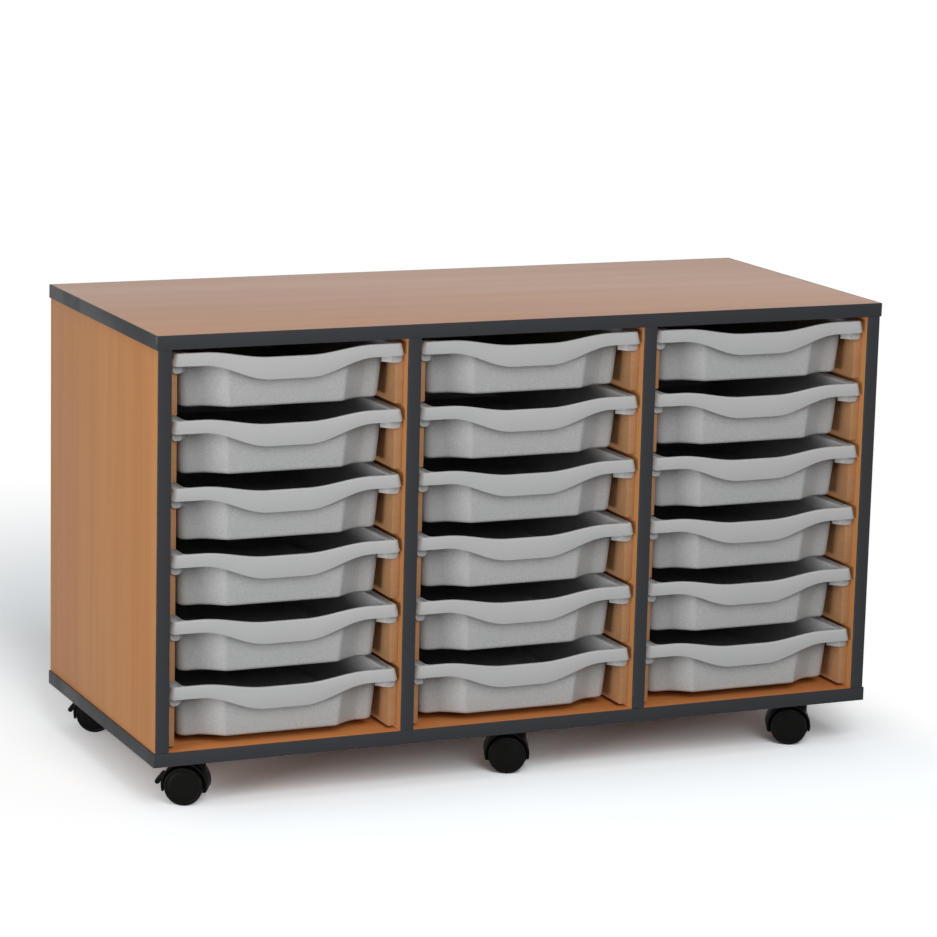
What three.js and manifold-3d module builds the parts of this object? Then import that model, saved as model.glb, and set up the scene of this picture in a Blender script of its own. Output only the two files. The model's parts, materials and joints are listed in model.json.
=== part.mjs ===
// A mobile classroom tray storage unit: a board carcass of three bays on six twin-wheel castors,
// with eighteen shallow plastic trays that slide on slotted runner boards.
// Millimetres, +Z up, front towards -Y, origin on the floor at the middle of the footprint.
import * as THREE from "three";
import { mergeVertices } from "three/addons/utils/BufferGeometryUtils.js";
import Module from "manifold-3d";

// Carcass boards
const bayWidth = 316;
const rowCount = 6;
const panelThickness = 18;
const edgingThickness = 2;
const panelOverhang = 2.5;
const carcassDepth = 440;
const backThickness = 5;

// Runner boards, slotted for the tray rims
const runnerThickness = 12;
const runnerHeight = 63;
const runnerRecess = 15;
const runnerWebDepth = 4;
const topHeadroom = 4;

// Tray outline and clearances
const traySideClearance = 2;
const trayRearClearance = 1.5;
const traySeatGap = 0.3;
const trayFloorClearance = 9.5;
const trayRecess = 4.5;
const trayWall = 2.2;
const slotClearance = 2;

// Tray rim: an upside-down channel whose skirt rests on the runners
const rimHeight = 19.7;
const rimFlare = 4.5;
const rimLedge = 13;
const rimFrontRadius = 6;
const rimBackRadius = 12;

// Tray fascia: the front of the rim, which dips in a wave to make a handle
const fasciaEndHeight = 16;
const fasciaTopDip = 9.5;
const fasciaBottomDip = 21.5;
const fasciaFlatEnd = 40.5;
const fasciaWaveRun = 90;
const fasciaWaveSteps = 6;

// Tray bowl: drafted walls, and a front whose middle stands forward of its shoulders
const bowlDraftAngle = 4.5;
const bowlFrontOffset = 7;
const bowlBackOffset = 13;
const bowlShoulderWidth = 24;
const bowlShoulderSetback = 18;
const bowlNoseBlend = 30;
const bowlCornerRadius = 13;
const bowlNoseRadius = 2.5;
const bowlShoulderRadius = 20;
const bowlFootRound = 2.5;

// Stop lugs under the front corners of the rim
const lugWidth = 10.5;
const lugInset = 1.5;
const lugSetback = 3;
const lugDrop = 4;
const lugRadius = 3.5;
const lugStopGap = 0.3;

// Castors
const wheelRadius = 25;
const wheelWidth = 18;
const wheelEdge = 1.5;
const wheelSides = 24;
const wheelGap = 0.8;
const axleRadius = 3;
const webThickness = 10;
const fenderGap = 2;
const fenderThickness = 3;
const fenderWidth = 34;
const fenderDroop = 14;
const fenderHeadGap = 2.2;
const webSag = 12;
const castorTrail = 16;
const neckRadius = 9.5;
const swivelGap = 0.4;
const runningGap = 0.3;
const plateSize = 42;
const plateThickness = 2.5;
const plateCornerRadius = 5;
const pinRadius = 3;
const pinLength = 10.5;
const castorLeftInset = 72.5;
const castorRightInset = 79;
const castorFrontInset = 35;
const castorBackInset = 42;
const middleCastorOffset = 9;

// How each castor is turned about its pin at rest, in degrees
const restAngles = {
  front_left: -29,
  front_middle: -22,
  front_right: -25,
  back_left: -29,
  back_middle: -24,
  back_right: -27,
};

// Brake lever of a braked castor
const leverWidth = 14;
const leverBeadRadius = 2.2;
const leverPivotAngle = 166;
const leverReach = 14;
const leverThickness = 3.6;
const leverDrop = 8.4;
const leverRootRound = 0.3;
const leverPocketGap = 0.7;

// Heights and widths that follow from the sizes above
const axleHeight = wheelRadius * Math.cos(Math.PI / wheelSides);
const fenderInner = wheelRadius + fenderGap;
const fenderOuter = fenderInner + fenderThickness;
const castorHeight = Math.ceil(axleHeight + fenderOuter + fenderHeadGap + plateThickness);
const slotHeight = traySeatGap + rimHeight + slotClearance;
const rowPitch = runnerHeight + slotHeight;
const bayHeight = rowCount * rowPitch + topHeadroom;
const baseTop = castorHeight + panelThickness;
const bayTop = baseTop + bayHeight;
const topTop = bayTop + panelThickness;
const sideReach = 1.5 * bayWidth + 2 * panelThickness;
const panelReach = sideReach + panelOverhang;
const front = -carcassDepth / 2;
const back = carcassDepth / 2;
const backPanelFront = back - backThickness;
const runnerFront = front + runnerRecess;
const webFront = backPanelFront - runnerWebDepth;
const trayFront = front + trayRecess;
const trayDepth = webFront - trayRearClearance - trayFront;
const trayWidth = bayWidth - 2 * traySideClearance;
const trayDrop = runnerHeight + traySeatGap - trayFloorClearance;

// Finishes
const beech = new THREE.MeshStandardMaterial({ color: 0xc8915f, roughness: 0.5, metalness: 0 });
const charcoal = new THREE.MeshStandardMaterial({ color: 0x3e4144, roughness: 0.55, metalness: 0 });
const rawBoard = new THREE.MeshStandardMaterial({ color: 0xc79a6b, roughness: 0.8, metalness: 0 });
const greyPlastic = new THREE.MeshStandardMaterial({ color: 0xa8a9a9, roughness: 0.5, metalness: 0 });
const blackPlastic = new THREE.MeshStandardMaterial({ color: 0x1d1d1c, roughness: 0.45, metalness: 0 });
const zincSteel = new THREE.MeshStandardMaterial({ color: 0x9a9da0, roughness: 0.4, metalness: 0.9 });

const wasm = await Module();
wasm.setup();
const unit = new THREE.Group();

// A closed geometry as a solid that can be joined and cut.
function solidOf(geometry) {
  const bare = geometry.clone();
  bare.deleteAttribute("normal");
  bare.deleteAttribute("uv");
  const merged = mergeVertices(bare);
  return new wasm.Manifold(
    new wasm.Mesh({
      numProp: 3,
      vertProperties: merged.attributes.position.array,
      triVerts: new Uint32Array(merged.index.array),
    }),
  );
}

function geometryOf(solid) {
  const mesh = solid.getMesh();
  const geometry = new THREE.BufferGeometry();
  geometry.setAttribute("position", new THREE.BufferAttribute(mesh.vertProperties, 3));
  geometry.setIndex(new THREE.BufferAttribute(mesh.triVerts, 1));
  geometry.computeVertexNormals();
  return geometry;
}

function addMesh(parent, name, geometry, material) {
  const mesh = new THREE.Mesh(geometry, material);
  mesh.name = name;
  parent.add(mesh);
  return mesh;
}

// A board or bar from one corner to the opposite one. Its faces lie exactly on the values given.
function block(x0, x1, y0, y1, z0, z1) {
  const geometry = new THREE.BoxGeometry();
  const corners = geometry.attributes.position;
  for (let i = 0; i < corners.count; i++) {
    const x = corners.getX(i) < 0 ? x0 : x1;
    const y = corners.getY(i) < 0 ? y0 : y1;
    const z = corners.getZ(i) < 0 ? z0 : z1;
    corners.setXYZ(i, x, y, z);
  }
  return geometry;
}

// A flat outline drawn out along one axis: (y, z) points along x, (x, z) points along y or
// (x, y) points along z.
function prism(outline, axis, from, to) {
  const geometry = new THREE.ExtrudeGeometry(new THREE.Shape(outline), { depth: 1, bevelEnabled: false });
  const points = geometry.attributes.position;
  for (let i = 0; i < points.count; i++) {
    const u = points.getX(i);
    const v = points.getY(i);
    const far = points.getZ(i) > 0.5;
    if (axis === "x") points.setXYZ(i, far ? to : from, u, v);
    else if (axis === "y") points.setXYZ(i, u, far ? from : to, v);
    else points.setXYZ(i, u, v, far ? to : from);
  }
  return geometry;
}

// An outline whose corners [x, y, radius] are turned into arcs.
function roundedOutline(corners, steps) {
  const points = corners.map(([x, y]) => new THREE.Vector2(x, y));
  return corners.flatMap(([, , radius], i) => {
    const corner = points[i];
    const before = points.at(i - 1).clone().sub(corner).normalize();
    const after = points[(i + 1) % points.length].clone().sub(corner).normalize();
    const half = Math.acos(THREE.MathUtils.clamp(before.dot(after), -1, 1)) / 2;
    const start = corner.clone().addScaledVector(before, radius / Math.tan(half));
    const end = corner.clone().addScaledVector(after, radius / Math.tan(half));
    const towards = before.add(after).normalize();
    const centre = corner.clone().addScaledVector(towards, radius / Math.sin(half));
    const from = start.sub(centre);
    const turn = from.angleTo(end.sub(centre)) * Math.sign(from.cross(end));
    const arc = [];
    for (let step = 0; step <= steps; step++) {
      const spoke = from.clone().rotateAround(new THREE.Vector2(), (turn * step) / steps);
      arc.push(spoke.add(centre));
    }
    return arc;
  });
}

// A solid drawn through outlines with equal point counts, from the lowest to the highest.
function loft(levels) {
  const count = levels[0].outline.length;
  const positions = levels.flatMap(({ outline, z }) => outline.flatMap((point) => [point.x, point.y, z]));
  const faces = [];
  for (let level = 0; level < levels.length - 1; level++) {
    for (let i = 0; i < count; i++) {
      const a = level * count + i;
      const b = level * count + ((i + 1) % count);
      faces.push(a, b, b + count, a, b + count, a + count);
    }
  }
  const lid = (levels.length - 1) * count;
  for (const [a, b, c] of THREE.ShapeUtils.triangulateShape(levels[0].outline, [])) faces.push(c, b, a);
  for (const [a, b, c] of THREE.ShapeUtils.triangulateShape(levels.at(-1).outline, [])) {
    faces.push(lid + a, lid + b, lid + c);
  }
  const geometry = new THREE.BufferGeometry();
  geometry.setAttribute("position", new THREE.Float32BufferAttribute(positions, 3));
  geometry.setIndex(faces);
  return geometry;
}

// Top and base: a beech-faced board with an edging band round all four sides.
function addEdgedBoard(name, z0, z1) {
  const coreReach = panelReach - edgingThickness;
  const coreFront = front + edgingThickness;
  const coreBack = back - edgingThickness;
  const band = solidOf(block(-panelReach, panelReach, front, back, z0, z1));
  const core = solidOf(block(-coreReach, coreReach, coreFront, coreBack, z0 - 1, z1 + 1));
  addMesh(unit, `${name}_panel`, block(-coreReach, coreReach, coreFront, coreBack, z0, z1), beech);
  addMesh(unit, `${name}_edging`, geometryOf(band.subtract(core)), charcoal);
}

// Sides and dividers: an upright board with an edging strip on its front edge.
function addUpright(panelName, edgingName, x0) {
  const x1 = x0 + panelThickness;
  const boardFront = front + edgingThickness;
  addMesh(unit, panelName, block(x0, x1, boardFront, backPanelFront, baseTop, bayTop), beech);
  addMesh(unit, edgingName, block(x0, x1, front, boardFront, baseTop, bayTop), charcoal);
}

// One runner board: six support strips, one under each tray rim, joined by a web at the back.
function addRunnerBoard(name, x0) {
  const outline = [new THREE.Vector2(backPanelFront, baseTop)];
  for (let row = 0; row < rowCount; row++) {
    const foot = baseTop + row * rowPitch;
    const head = foot + runnerHeight;
    if (row > 0) outline.push(new THREE.Vector2(webFront, foot));
    outline.push(new THREE.Vector2(runnerFront, foot), new THREE.Vector2(runnerFront, head));
    if (row < rowCount - 1) outline.push(new THREE.Vector2(webFront, head));
    else outline.push(new THREE.Vector2(backPanelFront, head));
  }
  outline.reverse();
  addMesh(unit, name, prism(outline, "x", x0, x0 + runnerThickness), rawBoard);
}

// How far the fascia has dipped at a distance from the tray's middle, from 0 at its ends to 1.
function waveShare(x) {
  const flatMiddle = trayWidth / 2 - fasciaFlatEnd - fasciaWaveRun;
  const along = THREE.MathUtils.clamp((Math.abs(x) - flatMiddle) / fasciaWaveRun, 0, 1);
  return (1 + Math.cos(Math.PI * along)) / 2;
}

// The stations across the fascia at which its wave is drawn, from left to right.
function waveStations() {
  const waveEnd = trayWidth / 2 - fasciaFlatEnd;
  const right = [];
  for (let step = 0; step <= fasciaWaveSteps; step++) {
    right.push(waveEnd - fasciaWaveRun * (1 - step / fasciaWaveSteps));
  }
  return [...right.map((x) => -x).reverse(), ...right];
}

// The tray's rim in plan, at the skirt's foot or drawn in towards its head.
function rimOutline(drawnIn, inset) {
  const half = trayWidth / 2 - drawnIn - inset;
  const rear = trayDepth - drawnIn - inset;
  const frontRadius = Math.max(rimFrontRadius - inset, 1);
  const rearRadius = Math.max(rimBackRadius - inset, 1);
  const steps = 2;
  return roundedOutline(
    [
      [-half, inset, frontRadius],
      [half, inset, frontRadius],
      [half, rear, rearRadius],
      [-half, rear, rearRadius],
    ],
    steps,
  );
}

// The tray's bowl in plan, drawn in by its draft and by the wall where it is the inside.
function bowlOutline(drawnIn, wall) {
  const half = trayWidth / 2 - rimFlare - rimLedge - drawnIn - wall;
  const nose = bowlFrontOffset + drawnIn + wall;
  const shoulder = nose + bowlShoulderSetback;
  const rear = trayDepth - bowlBackOffset - drawnIn - wall;
  const shoulderEnd = half - bowlShoulderWidth;
  const noseEnd = shoulderEnd - bowlNoseBlend;
  const steps = 2;
  return roundedOutline(
    [
      [-noseEnd, nose, bowlNoseRadius],
      [noseEnd, nose, bowlNoseRadius],
      [shoulderEnd, shoulder, bowlShoulderRadius],
      [half, shoulder, bowlCornerRadius],
      [half, rear, bowlCornerRadius],
      [-half, rear, bowlCornerRadius],
      [-half, shoulder, bowlCornerRadius],
      [-shoulderEnd, shoulder, bowlShoulderRadius],
    ],
    steps,
  );
}

// The bowl's outer form, or its hollow when it is given a wall: drafted, with a chamfered foot.
function bowlForm(wall, floor, head) {
  const drafted = (z) => Math.tan(THREE.MathUtils.degToRad(bowlDraftAngle)) * (rimHeight - z);
  const foot = floor + bowlFootRound;
  return solidOf(
    loft([
      { outline: bowlOutline(drafted(foot) + bowlFootRound, wall), z: floor },
      { outline: bowlOutline(drafted(foot), wall), z: foot },
      { outline: bowlOutline(drafted(head), wall), z: head },
    ]),
  );
}

// A tray, with its fascia's face at y = 0 and the foot of its rim's skirt at z = 0.
function trayGeometry() {
  const past = 1;
  const rimOuter = loft([
    { outline: rimOutline(0, 0), z: 0 },
    { outline: rimOutline(rimFlare, 0), z: rimHeight },
  ]);
  const rimInner = loft([
    { outline: rimOutline(0, trayWall), z: -past },
    { outline: rimOutline(rimFlare, trayWall), z: rimHeight - trayWall },
  ]);
  const fasciaFoot = rimHeight - fasciaEndHeight;
  const lugBack = runnerRecess - trayRecess - lugStopGap;
  const half = trayWidth / 2;
  const belowFascia = block(-half - past, half + past, -past, lugBack, -past, fasciaFoot);

  const stations = waveStations();
  const crest = stations.map((x) => new THREE.Vector2(x, rimHeight - fasciaTopDip * waveShare(x)));
  const under = crest.map((point) => new THREE.Vector2(point.x, point.y - trayWall));
  const edge = stations.map((x) => new THREE.Vector2(x, fasciaFoot - fasciaBottomDip * waveShare(x)));
  const fascia = prism([...edge, ...crest.toReversed()], "y", 0, trayWall);
  const ledgeBack = bowlFrontOffset + bowlShoulderSetback + trayWall;
  const ledge = prism([...under, ...crest.toReversed()], "y", 0, ledgeBack);
  const rightHead = new THREE.Vector2(stations.at(-1), rimHeight + past);
  const leftHead = new THREE.Vector2(stations[0], rimHeight + past);
  const above = [...crest, rightHead, leftHead];
  const aboveWave = prism(above, "y", -past, bowlFrontOffset + bowlShoulderSetback);

  let tray = solidOf(rimOuter).subtract(solidOf(rimInner)).subtract(solidOf(belowFascia));
  tray = tray.add(bowlForm(0, -trayDrop, rimHeight));
  tray = tray.add(solidOf(fascia)).add(solidOf(ledge));
  const lugOuter = half - lugInset;
  const lugInner = lugOuter - lugWidth;
  const lugHead = rimHeight - trayWall;
  for (const [left, right] of [
    [-lugOuter, -lugInner],
    [lugInner, lugOuter],
  ]) {
    const lean = left < 0 ? [rimFlare, 0] : [0, -rimFlare];
    const lug = roundedOutline(
      [
        [left, -lugDrop, lugRadius],
        [right, -lugDrop, lugRadius],
        [right + lean[1], lugHead, trayWall / 2],
        [left + lean[0], lugHead, trayWall / 2],
      ],
      1,
    );
    tray = tray.add(solidOf(prism(lug, "y", lugSetback, lugBack)));
  }
  tray = tray.subtract(bowlForm(trayWall, trayWall - trayDrop, rimHeight + past));
  return geometryOf(tray.subtract(solidOf(aboveWave)));
}

// A castor's fixed plate, with the pin that the hood turns on. Its top is at z = 0.
function plateGeometry() {
  const half = plateSize / 2;
  const corners = [
    [-half, -half, plateCornerRadius],
    [half, -half, plateCornerRadius],
    [half, half, plateCornerRadius],
    [-half, half, plateCornerRadius],
  ];
  const plate = prism(roundedOutline(corners, 2), "z", -plateThickness, 0);
  const pinSides = 16;
  const pin = new THREE.CylinderGeometry(pinRadius, pinRadius, pinLength + plateThickness / 2, pinSides);
  pin.rotateX(Math.PI / 2);
  pin.translate(0, 0, -plateThickness / 2 - (pinLength + plateThickness / 2) / 2);
  return geometryOf(solidOf(plate).add(solidOf(pin)));
}

// A round bar along y, with its middle at the given place.
function crossBar(radius, length, sides, x, y, z) {
  const bar = new THREE.CylinderGeometry(radius, radius, length, sides);
  bar.translate(x, y, z);
  return bar;
}

// The two wheels of a castor with the axle between them, turned about y.
function wheelsGeometry() {
  const inner = webThickness / 2 + wheelGap;
  const outer = inner + wheelWidth;
  const side = [
    [axleRadius, inner],
    [wheelRadius, inner],
    [wheelRadius, outer - wheelEdge],
    [wheelRadius - wheelEdge, outer],
    [0, outer],
  ].map(([r, y]) => new THREE.Vector2(r, y));
  const mirrored = side.map((point) => new THREE.Vector2(point.x, -point.y)).reverse();
  return new THREE.LatheGeometry([...mirrored, ...side], wheelSides, Math.PI / wheelSides);
}

// A point on a circle about the axle, with the angle counted up from the side that the neck is on.
function aroundAxle(radius, degrees) {
  const angle = THREE.MathUtils.degToRad(degrees);
  return new THREE.Vector2(radius * Math.cos(angle), radius * Math.sin(angle));
}

// The brake lever in its own frame: a bead at the origin that turns in the hood, and a pedal that
// hangs from it.
function leverGeometry() {
  const thick = leverThickness;
  const pedal = roundedOutline(
    [
      [0, -leverBeadRadius / 2, leverRootRound],
      [0, leverBeadRadius / 2, leverRootRound],
      [-leverReach / 2 + thick / 3, thick, thick / 2],
      [-leverReach + thick, 0, thick / 2],
      [-leverReach, -leverDrop, thick / 3],
      [-leverReach + thick, -leverDrop - thick / 3, thick / 3],
      [-leverReach / 2, -thick / 2, thick / 2],
    ].reverse(),
    2,
  );
  const half = leverWidth / 2;
  const beadSides = 12;
  const bead = crossBar(leverBeadRadius, leverWidth, beadSides, 0, 0, 0);
  return geometryOf(solidOf(prism(pedal, "y", -half, half)).add(solidOf(bead)));
}

// A castor's hood about the axle: a fender over both wheels, a web between them and the neck for
// the pin.
function hoodGeometry(braked) {
  const fenderSteps = 12;
  const outline = [];
  for (let step = 0; step <= fenderSteps; step++) {
    outline.push(aroundAxle(fenderOuter, -fenderDroop + ((180 + 2 * fenderDroop) * step) / fenderSteps));
  }
  outline.push(new THREE.Vector2(-webSag, -webSag), new THREE.Vector2(webSag, -webSag));
  let hood = solidOf(prism(outline, "y", -fenderWidth / 2, fenderWidth / 2));

  const neckTop = castorHeight - plateThickness - swivelGap - axleHeight;
  const roundSides = 14;
  const neck = new THREE.CylinderGeometry(neckRadius, neckRadius, neckTop, roundSides);
  neck.rotateX(Math.PI / 2);
  neck.translate(castorTrail, 0, neckTop / 2);
  hood = hood.add(solidOf(neck));

  for (const side of [-1, 1]) {
    const middle = (side * (webThickness + fenderWidth)) / 2;
    hood = hood.subtract(solidOf(crossBar(fenderInner, fenderWidth, wheelSides, 0, middle, 0)));
  }
  const boreRadius = pinRadius + runningGap;
  const boreFoot = castorHeight - plateThickness - pinLength - runningGap - axleHeight;
  const bore = new THREE.CylinderGeometry(boreRadius, boreRadius, neckTop, roundSides);
  bore.rotateX(Math.PI / 2);
  bore.translate(castorTrail, 0, boreFoot + neckTop / 2);
  hood = hood.subtract(solidOf(bore));
  hood = hood.subtract(solidOf(crossBar(axleRadius + runningGap, fenderWidth, roundSides, 0, 0, 0)));
  if (braked) {
    const pivot = aroundAxle(fenderOuter - fenderThickness / 2, leverPivotAngle);
    const pocketRadius = leverBeadRadius + leverPocketGap;
    const pocketWidth = leverWidth + 2 * runningGap;
    const pocket = crossBar(pocketRadius, pocketWidth, roundSides, pivot.x, 0, pivot.y);
    hood = hood.subtract(solidOf(pocket));
  }
  return geometryOf(hood);
}

// One castor: its plate is fixed under the base, and the rest is turned about the pin to its
// resting angle.
function addCastor(name, x, y, braked) {
  const castor = new THREE.Group();
  castor.position.set(x, y, 0);
  unit.add(castor);
  const plate = addMesh(castor, `${name}_castor_plate`, plateGeometry(), zincSteel);
  plate.position.z = castorHeight;

  const turning = new THREE.Group();
  turning.rotation.z = THREE.MathUtils.degToRad(restAngles[name]);
  castor.add(turning);
  const axle = new THREE.Group();
  axle.position.set(-castorTrail, 0, axleHeight);
  turning.add(axle);
  addMesh(axle, `${name}_castor_hood`, hoodGeometry(braked), blackPlastic);
  addMesh(axle, `${name}_castor_wheels`, wheelsGeometry(), blackPlastic);
  if (braked) {
    const pivot = aroundAxle(fenderOuter - fenderThickness / 2, leverPivotAngle);
    const lever = addMesh(axle, `${name}_brake_lever`, leverGeometry(), blackPlastic);
    lever.position.set(pivot.x, 0, pivot.y);
  }
}

addEdgedBoard("base", castorHeight, baseTop);
addEdgedBoard("top", bayTop, topTop);
const backPanel = block(-sideReach, sideReach, backPanelFront, back, baseTop, bayTop);
addMesh(unit, "back_panel", backPanel, beech);

const bayStep = bayWidth + panelThickness;
addUpright("left_side_panel", "left_side_edging", -sideReach);
addUpright("left_divider", "left_divider_edging", -sideReach + bayStep);
addUpright("right_divider", "right_divider_edging", -sideReach + 2 * bayStep);
addUpright("right_side_panel", "right_side_edging", -sideReach + 3 * bayStep);

const tray = trayGeometry();
["left", "middle", "right"].forEach((bay, column) => {
  const bayLeft = -sideReach + panelThickness + column * bayStep;
  addRunnerBoard(`${bay}_bay_left_runner`, bayLeft);
  addRunnerBoard(`${bay}_bay_right_runner`, bayLeft + bayWidth - runnerThickness);
  for (let row = 1; row <= rowCount; row++) {
    const placed = addMesh(unit, `${bay}_tray_${row}`, tray, greyPlastic);
    const seat = baseTop + (rowCount - row) * rowPitch + runnerHeight + traySeatGap;
    placed.position.set(bayLeft + bayWidth / 2, trayFront, seat);
  }
});

const castorsLeft = castorLeftInset - panelReach;
const castorsRight = panelReach - castorRightInset;
const frontCastors = front + castorFrontInset;
const backCastors = back - castorBackInset;
addCastor("front_left", castorsLeft, frontCastors, true);
addCastor("front_middle", middleCastorOffset, frontCastors, false);
addCastor("front_right", castorsRight, frontCastors, false);
addCastor("back_left", castorsLeft, backCastors, true);
addCastor("back_middle", middleCastorOffset, backCastors, false);
addCastor("back_right", castorsRight, backCastors, false);

export default unit;
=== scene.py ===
"""The looks of a mobile classroom tray storage unit: beech-faced boards with charcoal edging, moulded
grey trays on wooden runners, and black twin-wheel castors. Metres, +Z up, front towards -Y."""
import json
import math

import bmesh
import bpy
from mathutils import Matrix, Vector


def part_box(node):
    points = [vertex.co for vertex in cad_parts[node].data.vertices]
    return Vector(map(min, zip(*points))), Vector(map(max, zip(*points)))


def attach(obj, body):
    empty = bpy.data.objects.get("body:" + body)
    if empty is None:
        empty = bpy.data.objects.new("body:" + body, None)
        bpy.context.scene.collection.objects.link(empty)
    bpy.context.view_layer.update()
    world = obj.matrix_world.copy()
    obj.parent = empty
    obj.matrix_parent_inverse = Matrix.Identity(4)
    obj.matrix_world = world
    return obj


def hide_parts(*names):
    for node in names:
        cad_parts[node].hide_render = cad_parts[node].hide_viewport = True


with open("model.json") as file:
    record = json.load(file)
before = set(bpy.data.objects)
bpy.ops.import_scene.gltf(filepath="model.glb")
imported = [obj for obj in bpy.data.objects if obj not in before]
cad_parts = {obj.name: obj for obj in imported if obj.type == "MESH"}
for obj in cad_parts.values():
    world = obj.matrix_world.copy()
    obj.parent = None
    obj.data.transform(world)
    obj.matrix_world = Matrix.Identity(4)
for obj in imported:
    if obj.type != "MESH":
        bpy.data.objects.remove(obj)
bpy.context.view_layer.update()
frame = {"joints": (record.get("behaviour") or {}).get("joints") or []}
joints = {joint["name"]: joint for joint in frame["joints"]}

BAYS = ("left", "middle", "right")
ROWS = range(1, 7)
CASTORS = [f"{end}_{side}" for end in ("front", "back") for side in BAYS]
BRAKED_CASTORS = ("front_left", "back_left")

# How near counts as touching, how nearly along an axis counts as along it, and what is merged after cuts
TOUCHING = 1e-5
ALONG = 0.999
MERGED_AFTER_CUTS = 2e-5
WORN_FACE_SHARE = 0.85

# Boards and their edging
BOARD_ARRIS = 0.0003
BAND_ROUND = 0.0011
BAND_CORNER_ROUND = 0.0009
STRIP_HEIGHT = 0.059
STRIP_ARRIS = 0.0007
STRIP_FOOT_GAP = 0.0006
EDGE_WEAR_ALONG = 0.15

# Tray: overall size from the frame, then the moulding
tray_low, tray_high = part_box("left_tray_1")
TRAY_WIDTH = tray_high.x - tray_low.x
TRAY_DEPTH = tray_high.y - tray_low.y
TRAY_HEIGHT = tray_high.z - tray_low.z
TRAY_WALL = 0.0022
RIM_HEIGHT = 0.0197
RIM_FLARE = 0.0045
RIM_LEDGE = 0.013
RIM_FRONT_RADIUS = 0.006
RIM_BACK_RADIUS = 0.012
RIM_ROUND = 0.0020
RIM_FOOT_ARRIS = 0.0006
LIP_WIDTH = 0.0058
LIP_CORNER_RADIUS = 0.007
GROOVE_DEPTH = 0.0022
GROOVE_SHARES = (0.06, 0.12, 0.84, 0.90)
FASCIA_END_HEIGHT = 0.0163
FASCIA_END_LIFT = 0.0026
FASCIA_TOP_DIP = 0.0097
FASCIA_FOOT_DIP = 0.0215
FASCIA_FLAT_END = 0.0405
FASCIA_WAVE_RUN = 0.090
BOWL_DRAFT = math.radians(4.5)
BOWL_NOSE_OFFSET = 0.007
BOWL_BACK_OFFSET = 0.013
BOWL_SHOULDER_WIDTH = 0.0222
BOWL_SHOULDER_SETBACK = 0.018
BOWL_NOSE_BLEND = 0.032
BOWL_NOSE_CURVE = 1.4
BOWL_CORNER_RADIUS = 0.013
BOWL_FRONT_RADIUS = 0.008
BOWL_FOOT_ROUND = 0.0022
BOWL_FRONT_SLOPE = 0.016
LUG_WIDTH = 0.0127
LUG_INSET = 0.0026
LUG_DROP = 0.0065
LUG_ROUND = 0.0045
LUG_ARRIS = 0.0008
LUG_HEAD = -0.0145
RIB_RUN = (0.0130, 0.0140)
LUG_SETBACK = 0.0070
LUG_BACK = 0.0102

# How finely the tray's outline and roundings are drawn
FRONT_STEPS = 112
CORNER_STEPS = 8
BACK_STEPS = 8
ROUND_STEPS = 4
SIDE_SHARES = (0.0, 0.0093, 0.0113, 0.040, 0.052, 0.25, 0.5, 0.75, 0.945, 0.957)
FOOT_STEP_SHARE = 0.0103
GROOVE_END = 0.951
BOWL_DEPTHS = (0.052, 0.034, 0.0186, 0.0146, 0.0106, 0.0066)

# Castors, about the axle: x towards the swivel, y along the axle
AXLE_HEIGHT = joints["front_left_wheel_spin"]["pos_m"][2]
WHEEL_RADIUS = AXLE_HEIGHT
WHEEL_WIDTH = 0.018
WHEEL_EDGE = 0.0016
WHEEL_GAP = 0.0008
WHEEL_SIDES = 72
WHEEL_FACE_RINGS = (
    (0.0022, 0.0),
    (0.0004, -0.0002),
    (0.0004, 0.0),
    (0.0004, 0.0002),
    (0.0040, 0.0003),
    (0.0060, 0.0002),
)
AXLE_RADIUS = 0.003
WEB_THICKNESS = 0.010
WEB_SAG = 0.012
FENDER_INNER = 0.027
FENDER_THICKNESS = 0.003
FENDER_WIDTH = 0.034
FENDER_DROOP = math.radians(14)
FENDER_LEVER_DROOP = math.radians(18)
FENDER_END_ROUND = 0.0013
FENDER_ARRIS = 0.0006
FENDER_STEPS = 48
CASTOR_TRAIL = 0.016
NECK_RADIUS = 0.0095
NECK_ROUND = 0.0008
PLATE_THICKNESS = 0.0025
PLATE_CORNER_RADIUS = 0.005
PIN_RADIUS = 0.003
PIN_LENGTH = 0.0105
SCREW_INSET = 0.0062
SCREW_RADIUS = 0.0036
SCREW_RISE = 0.0016
SCREW_ROUND = 0.0009
LEVER_WIDTH = 0.014
LEVER_BEAD_RADIUS = 0.0022
LEVER_NECK_THICKNESS = 0.003
BAR_ROUND_SHARE = 0.98
PEDAL_HEAD = Vector((-0.0294, 0, 0.0091))
PEDAL_TIP = Vector((-0.0361, 0, 0.0008))
PEDAL_RADIUS = 0.0034
PEDAL_END_ROUND = 0.0020
SLOT_LOW = Vector((-0.0340, -0.0073, -0.0160))
SLOT_HIGH = Vector((-0.0249, 0.0073, 0.0128))
SLOT_TILT = math.radians(4)


# Modelling helpers

def start_fresh():
    """Leaves edit mode and deselects everything, so that operators act on the new piece alone."""
    if bpy.context.mode != "OBJECT":
        bpy.ops.object.mode_set(mode="OBJECT")
    bpy.ops.object.select_all(action="DESELECT")


def settle(name):
    """Names the active piece and puts its place, turn and size into its mesh."""
    bpy.ops.object.transform_apply(location=True, rotation=True, scale=True)
    piece = bpy.context.object
    piece.name = name
    return piece


def add_block(name, low, high):
    start_fresh()
    middle = (Vector(low) + Vector(high)) / 2
    size = Vector(high) - Vector(low)
    bpy.ops.mesh.primitive_cube_add(size=1, location=middle, scale=size)
    return settle(name)


def add_rod(name, radius, length, sides, centre, turn=(0, 0, 0)):
    start_fresh()
    bpy.ops.mesh.primitive_cylinder_add(
        vertices=sides, radius=radius, depth=length, location=centre, rotation=turn
    )
    return settle(name)


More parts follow.
